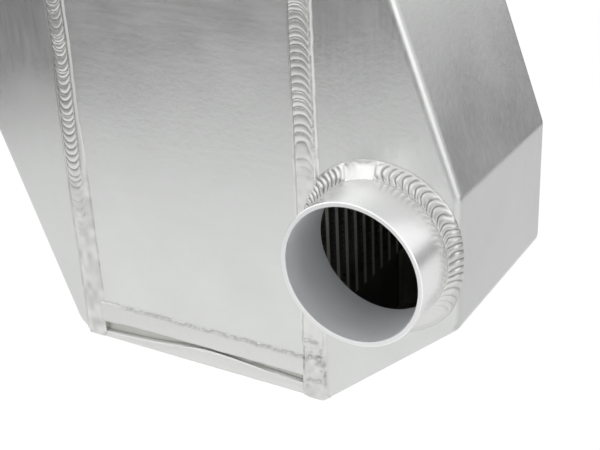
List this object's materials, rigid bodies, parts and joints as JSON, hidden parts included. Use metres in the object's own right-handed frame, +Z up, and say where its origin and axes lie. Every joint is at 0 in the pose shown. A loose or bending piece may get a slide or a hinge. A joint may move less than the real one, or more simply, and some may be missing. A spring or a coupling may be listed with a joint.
{
  "type": "liquid-cooled intercooler",
  "caption": "Bar-and-plate charge air cooler: a closed liquid-cooled core between two tapered folded end tanks, each with a stub pipe, joined by welded seams.",
  "frame": {"origin": "middle of the bottom end plate's underside, midway between the two tanks", "axes": "+Z up along the long seams, -Y out of the front side plate (the lower charge pipe points that way), +X towards the tank with the lower pipe"},
  "size_m": [0.3236, 0.1802, 0.3482],
  "materials": {
    "plate": "satin mill finish",
    "tank": "satin, finely brushed",
    "pipe": "turned, bright",
    "weld": "rippled weld bead",
    "bung": "turned",
    "core": "brazed, dull"
  },
  "bodies": {
    "root": {"front_side_plate": "plate", "rear_side_plate": "plate", "bottom_end_plate": "plate", "top_end_plate": "plate", "parting_sheets": "core", "charge_fins": "core", "coolant_fins": "core", "charge_edge_bars": "core", "coolant_edge_bars": "core", "bottom_header_side_walls": "core", "bottom_header_end_walls": "core", "top_header_side_walls": "core", "top_header_end_walls": "core", "top_header_divider": "core", "right_end_tank": "tank", "left_end_tank": "tank", "lower_charge_pipe": "pipe", "upper_charge_pipe": "pipe", "coolant_inlet_bung": "bung", "coolant_outlet_bung": "bung", "bung_welds": "weld", "lower_pipe_weld": "weld", "upper_pipe_weld": "weld", "right_seam_weld": "weld", "left_seam_weld": "weld", "bottom_front_closing_weld": "weld", "bottom_rear_closing_weld": "weld", "top_front_closing_weld": "weld", "top_rear_closing_weld": "weld", "groove_floor_welds": "weld"}
  },
  "joints": []
}
